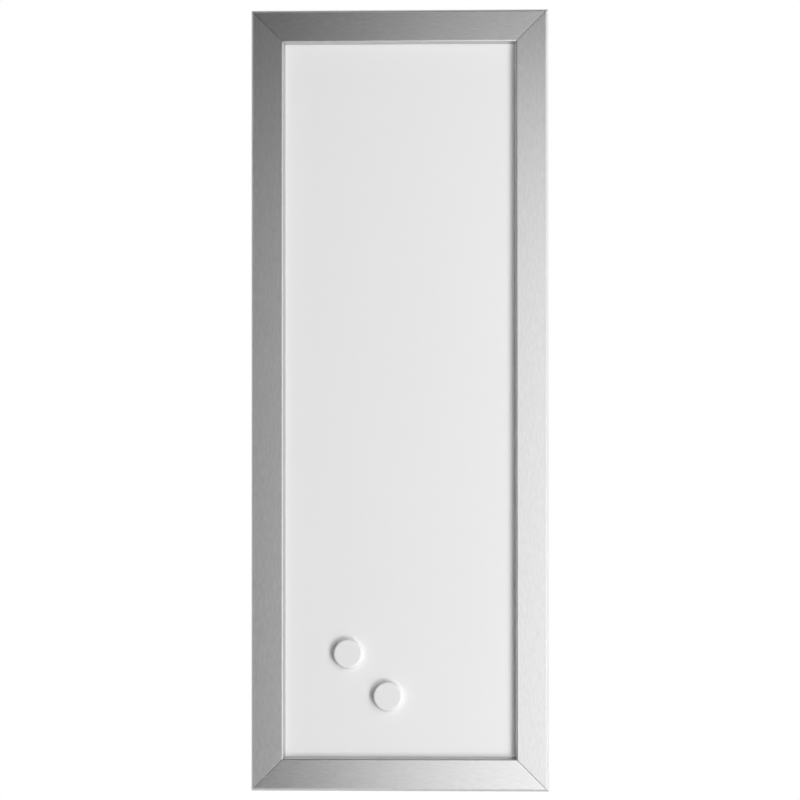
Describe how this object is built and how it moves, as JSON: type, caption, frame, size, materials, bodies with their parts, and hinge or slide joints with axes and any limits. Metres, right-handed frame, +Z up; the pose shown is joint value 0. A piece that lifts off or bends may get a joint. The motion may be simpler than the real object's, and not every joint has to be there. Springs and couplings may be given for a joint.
{
  "type": "magnetic whiteboard",
  "caption": "Tall narrow magnetic whiteboard in a mitred brushed aluminium frame, with plain round white magnets and sliding keyhole hangers behind.",
  "frame": {"origin": "on the wall plane, midway between the two wall screws that the board hangs on", "axes": "+X to the right as seen from the front, +Y back into the wall, +Z up"},
  "size_m": [0.3, 0.0218, 0.788],
  "materials": {
    "brushed_aluminium": "fine lengthways brushing, satin",
    "white_lacquer": "smooth satin-gloss lacquer",
    "board_core": "raw fibreboard",
    "grey_liner": "grey primer",
    "zinc_plated_steel": "bright zinc plate",
    "spring_steel": "blued spring steel",
    "black_steel": "black oxide",
    "white_plastic": "smooth moulded",
    "ferrite": "dark sintered",
    "pad_rubber": "translucent grey"
  },
  "bodies": {
    "board": {"rail_bottom": "brushed_aluminium", "rail_right": "brushed_aluminium", "rail_top": "brushed_aluminium", "rail_left": "brushed_aluminium", "writing_sheet": "white_lacquer", "board_core": "board_core", "back_liner": "grey_liner", "spring_clip_bottom_1": "spring_steel", "spring_clip_top_1": "spring_steel", "spring_clip_left_1": "spring_steel", "spring_clip_left_2": "spring_steel", "spring_clip_left_3": "spring_steel", "spring_clip_right_1": "spring_steel", "spring_clip_right_2": "spring_steel", "spring_clip_right_3": "spring_steel", "backing_angle_lower_left": "zinc_plated_steel", "threaded_angle_lower_left": "zinc_plated_steel", "grub_screw_lower_left_1": "black_steel", "grub_screw_lower_left_2": "black_steel", "backing_angle_lower_right": "zinc_plated_steel", "threaded_angle_lower_right": "zinc_plated_steel", "grub_screw_lower_right_1": "black_steel", "grub_screw_lower_right_2": "black_steel", "backing_angle_upper_right": "zinc_plated_steel", "threaded_angle_upper_right": "zinc_plated_steel", "grub_screw_upper_right_1": "black_steel", "grub_screw_upper_right_2": "black_steel", "backing_angle_upper_left": "zinc_plated_steel", "threaded_angle_upper_left": "zinc_plated_steel", "grub_screw_upper_left_1": "black_steel", "grub_screw_upper_left_2": "black_steel", "wall_pad_lower_left": "pad_rubber", "wall_pad_lower_right": "pad_rubber"},
    "hanger_left": {"hanger_left": "zinc_plated_steel", "clamp_screw_left": "black_steel"},
    "hanger_right": {"hanger_right": "zinc_plated_steel", "clamp_screw_right": "black_steel"},
    "magnet_1": {"magnet_cap_1": "white_plastic", "magnet_disc_1": "ferrite"},
    "magnet_2": {"magnet_cap_2": "white_plastic", "magnet_disc_2": "ferrite"}
  },
  "joints": [
    {"name": "hanger_left_slide", "type": "slide", "parent": "board", "child": "hanger_left", "axis": [1, 0, 0], "range_m": [-0.045, 0.045]},
    {"name": "hanger_right_slide", "type": "slide", "parent": "board", "child": "hanger_right", "axis": [1, 0, 0], "range_m": [-0.045, 0.045]},
    {"name": "magnet_1_pull", "type": "slide", "parent": "board", "child": "magnet_1", "axis": [0, -1, 0], "range_m": [0, 0.05]},
    {"name": "magnet_2_pull", "type": "slide", "parent": "board", "child": "magnet_2", "axis": [0, -1, 0], "range_m": [0, 0.05]}
  ]
}
